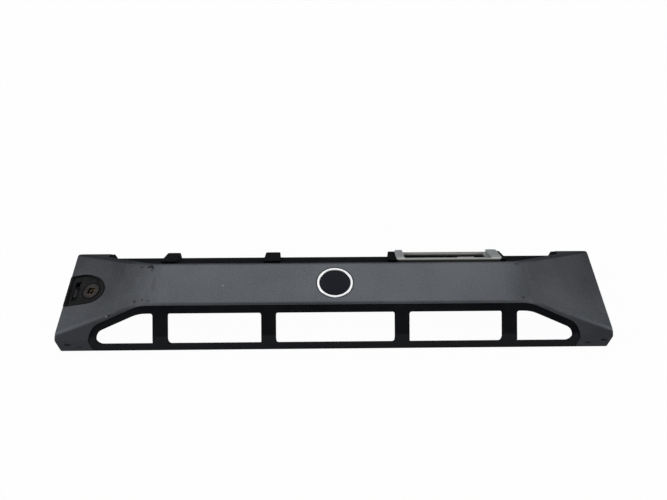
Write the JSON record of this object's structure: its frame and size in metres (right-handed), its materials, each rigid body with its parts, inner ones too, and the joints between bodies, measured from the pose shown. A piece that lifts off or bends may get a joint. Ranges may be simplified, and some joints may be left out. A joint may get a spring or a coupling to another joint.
{
  "type": "server front bezel",
  "caption": "Bow-tie shaped clip-on front bezel for a two-unit rack server, with air windows, a display opening, a key lock and a release latch.",
  "frame": {"origin": "middle of the bezel's outline on the plane of its back edges", "axes": "+X to the bezel's right seen from its front, +Y towards its top edge, +Z out of its face"},
  "size_m": [0.442, 0.086, 0.0317],
  "materials": {
    "grey_paint": "satin",
    "black_moulding": "satin",
    "light_grey_plastic": "satin",
    "adhesive_foam": "matte",
    "bright_ring": "glossy",
    "dark_disc": "glossy",
    "dark_plated_metal": "satin",
    "plated_steel": "satin",
    "plated_screws": "satin",
    "brass_pins": "polished",
    "spring_steel": "polished"
  },
  "bodies": {
    "bezel": {"front_cover": "grey_paint", "inner_frame": "black_moulding", "display_surround": "light_grey_plastic", "cover_screws": "plated_screws", "surround_screws": "plated_screws", "badge_pad": "adhesive_foam", "badge_ring": "bright_ring", "badge_disc": "dark_disc", "lock_housing": "black_moulding", "housing_screws": "plated_screws", "lock_barrel": "dark_plated_metal", "lock_washer": "plated_steel", "lock_nut": "plated_steel", "latch_plate": "plated_steel", "plate_screws": "plated_screws", "latch_spring": "spring_steel"},
    "key_plug": {"lock_plug": "dark_plated_metal", "key_pins": "brass_pins", "lock_cam": "plated_steel", "cam_screw": "plated_screws"},
    "latch": {"release_latch": "black_moulding"}
  },
  "joints": [
    {"name": "key_turn", "type": "hinge", "parent": "bezel", "child": "key_plug", "pos_m": [-0.2002, 0.0013, 0.02171], "axis": [-0.221, 0, 0.9753], "range_deg": [0, 90]},
    {"name": "latch_slide", "type": "slide", "parent": "bezel", "child": "latch", "axis": [0, 1, 0], "range_m": [0, 0.0035], "stiffness_N_per_m": 300, "springref_m": -0.002, "deforming": ["latch_spring"]}
  ]
}
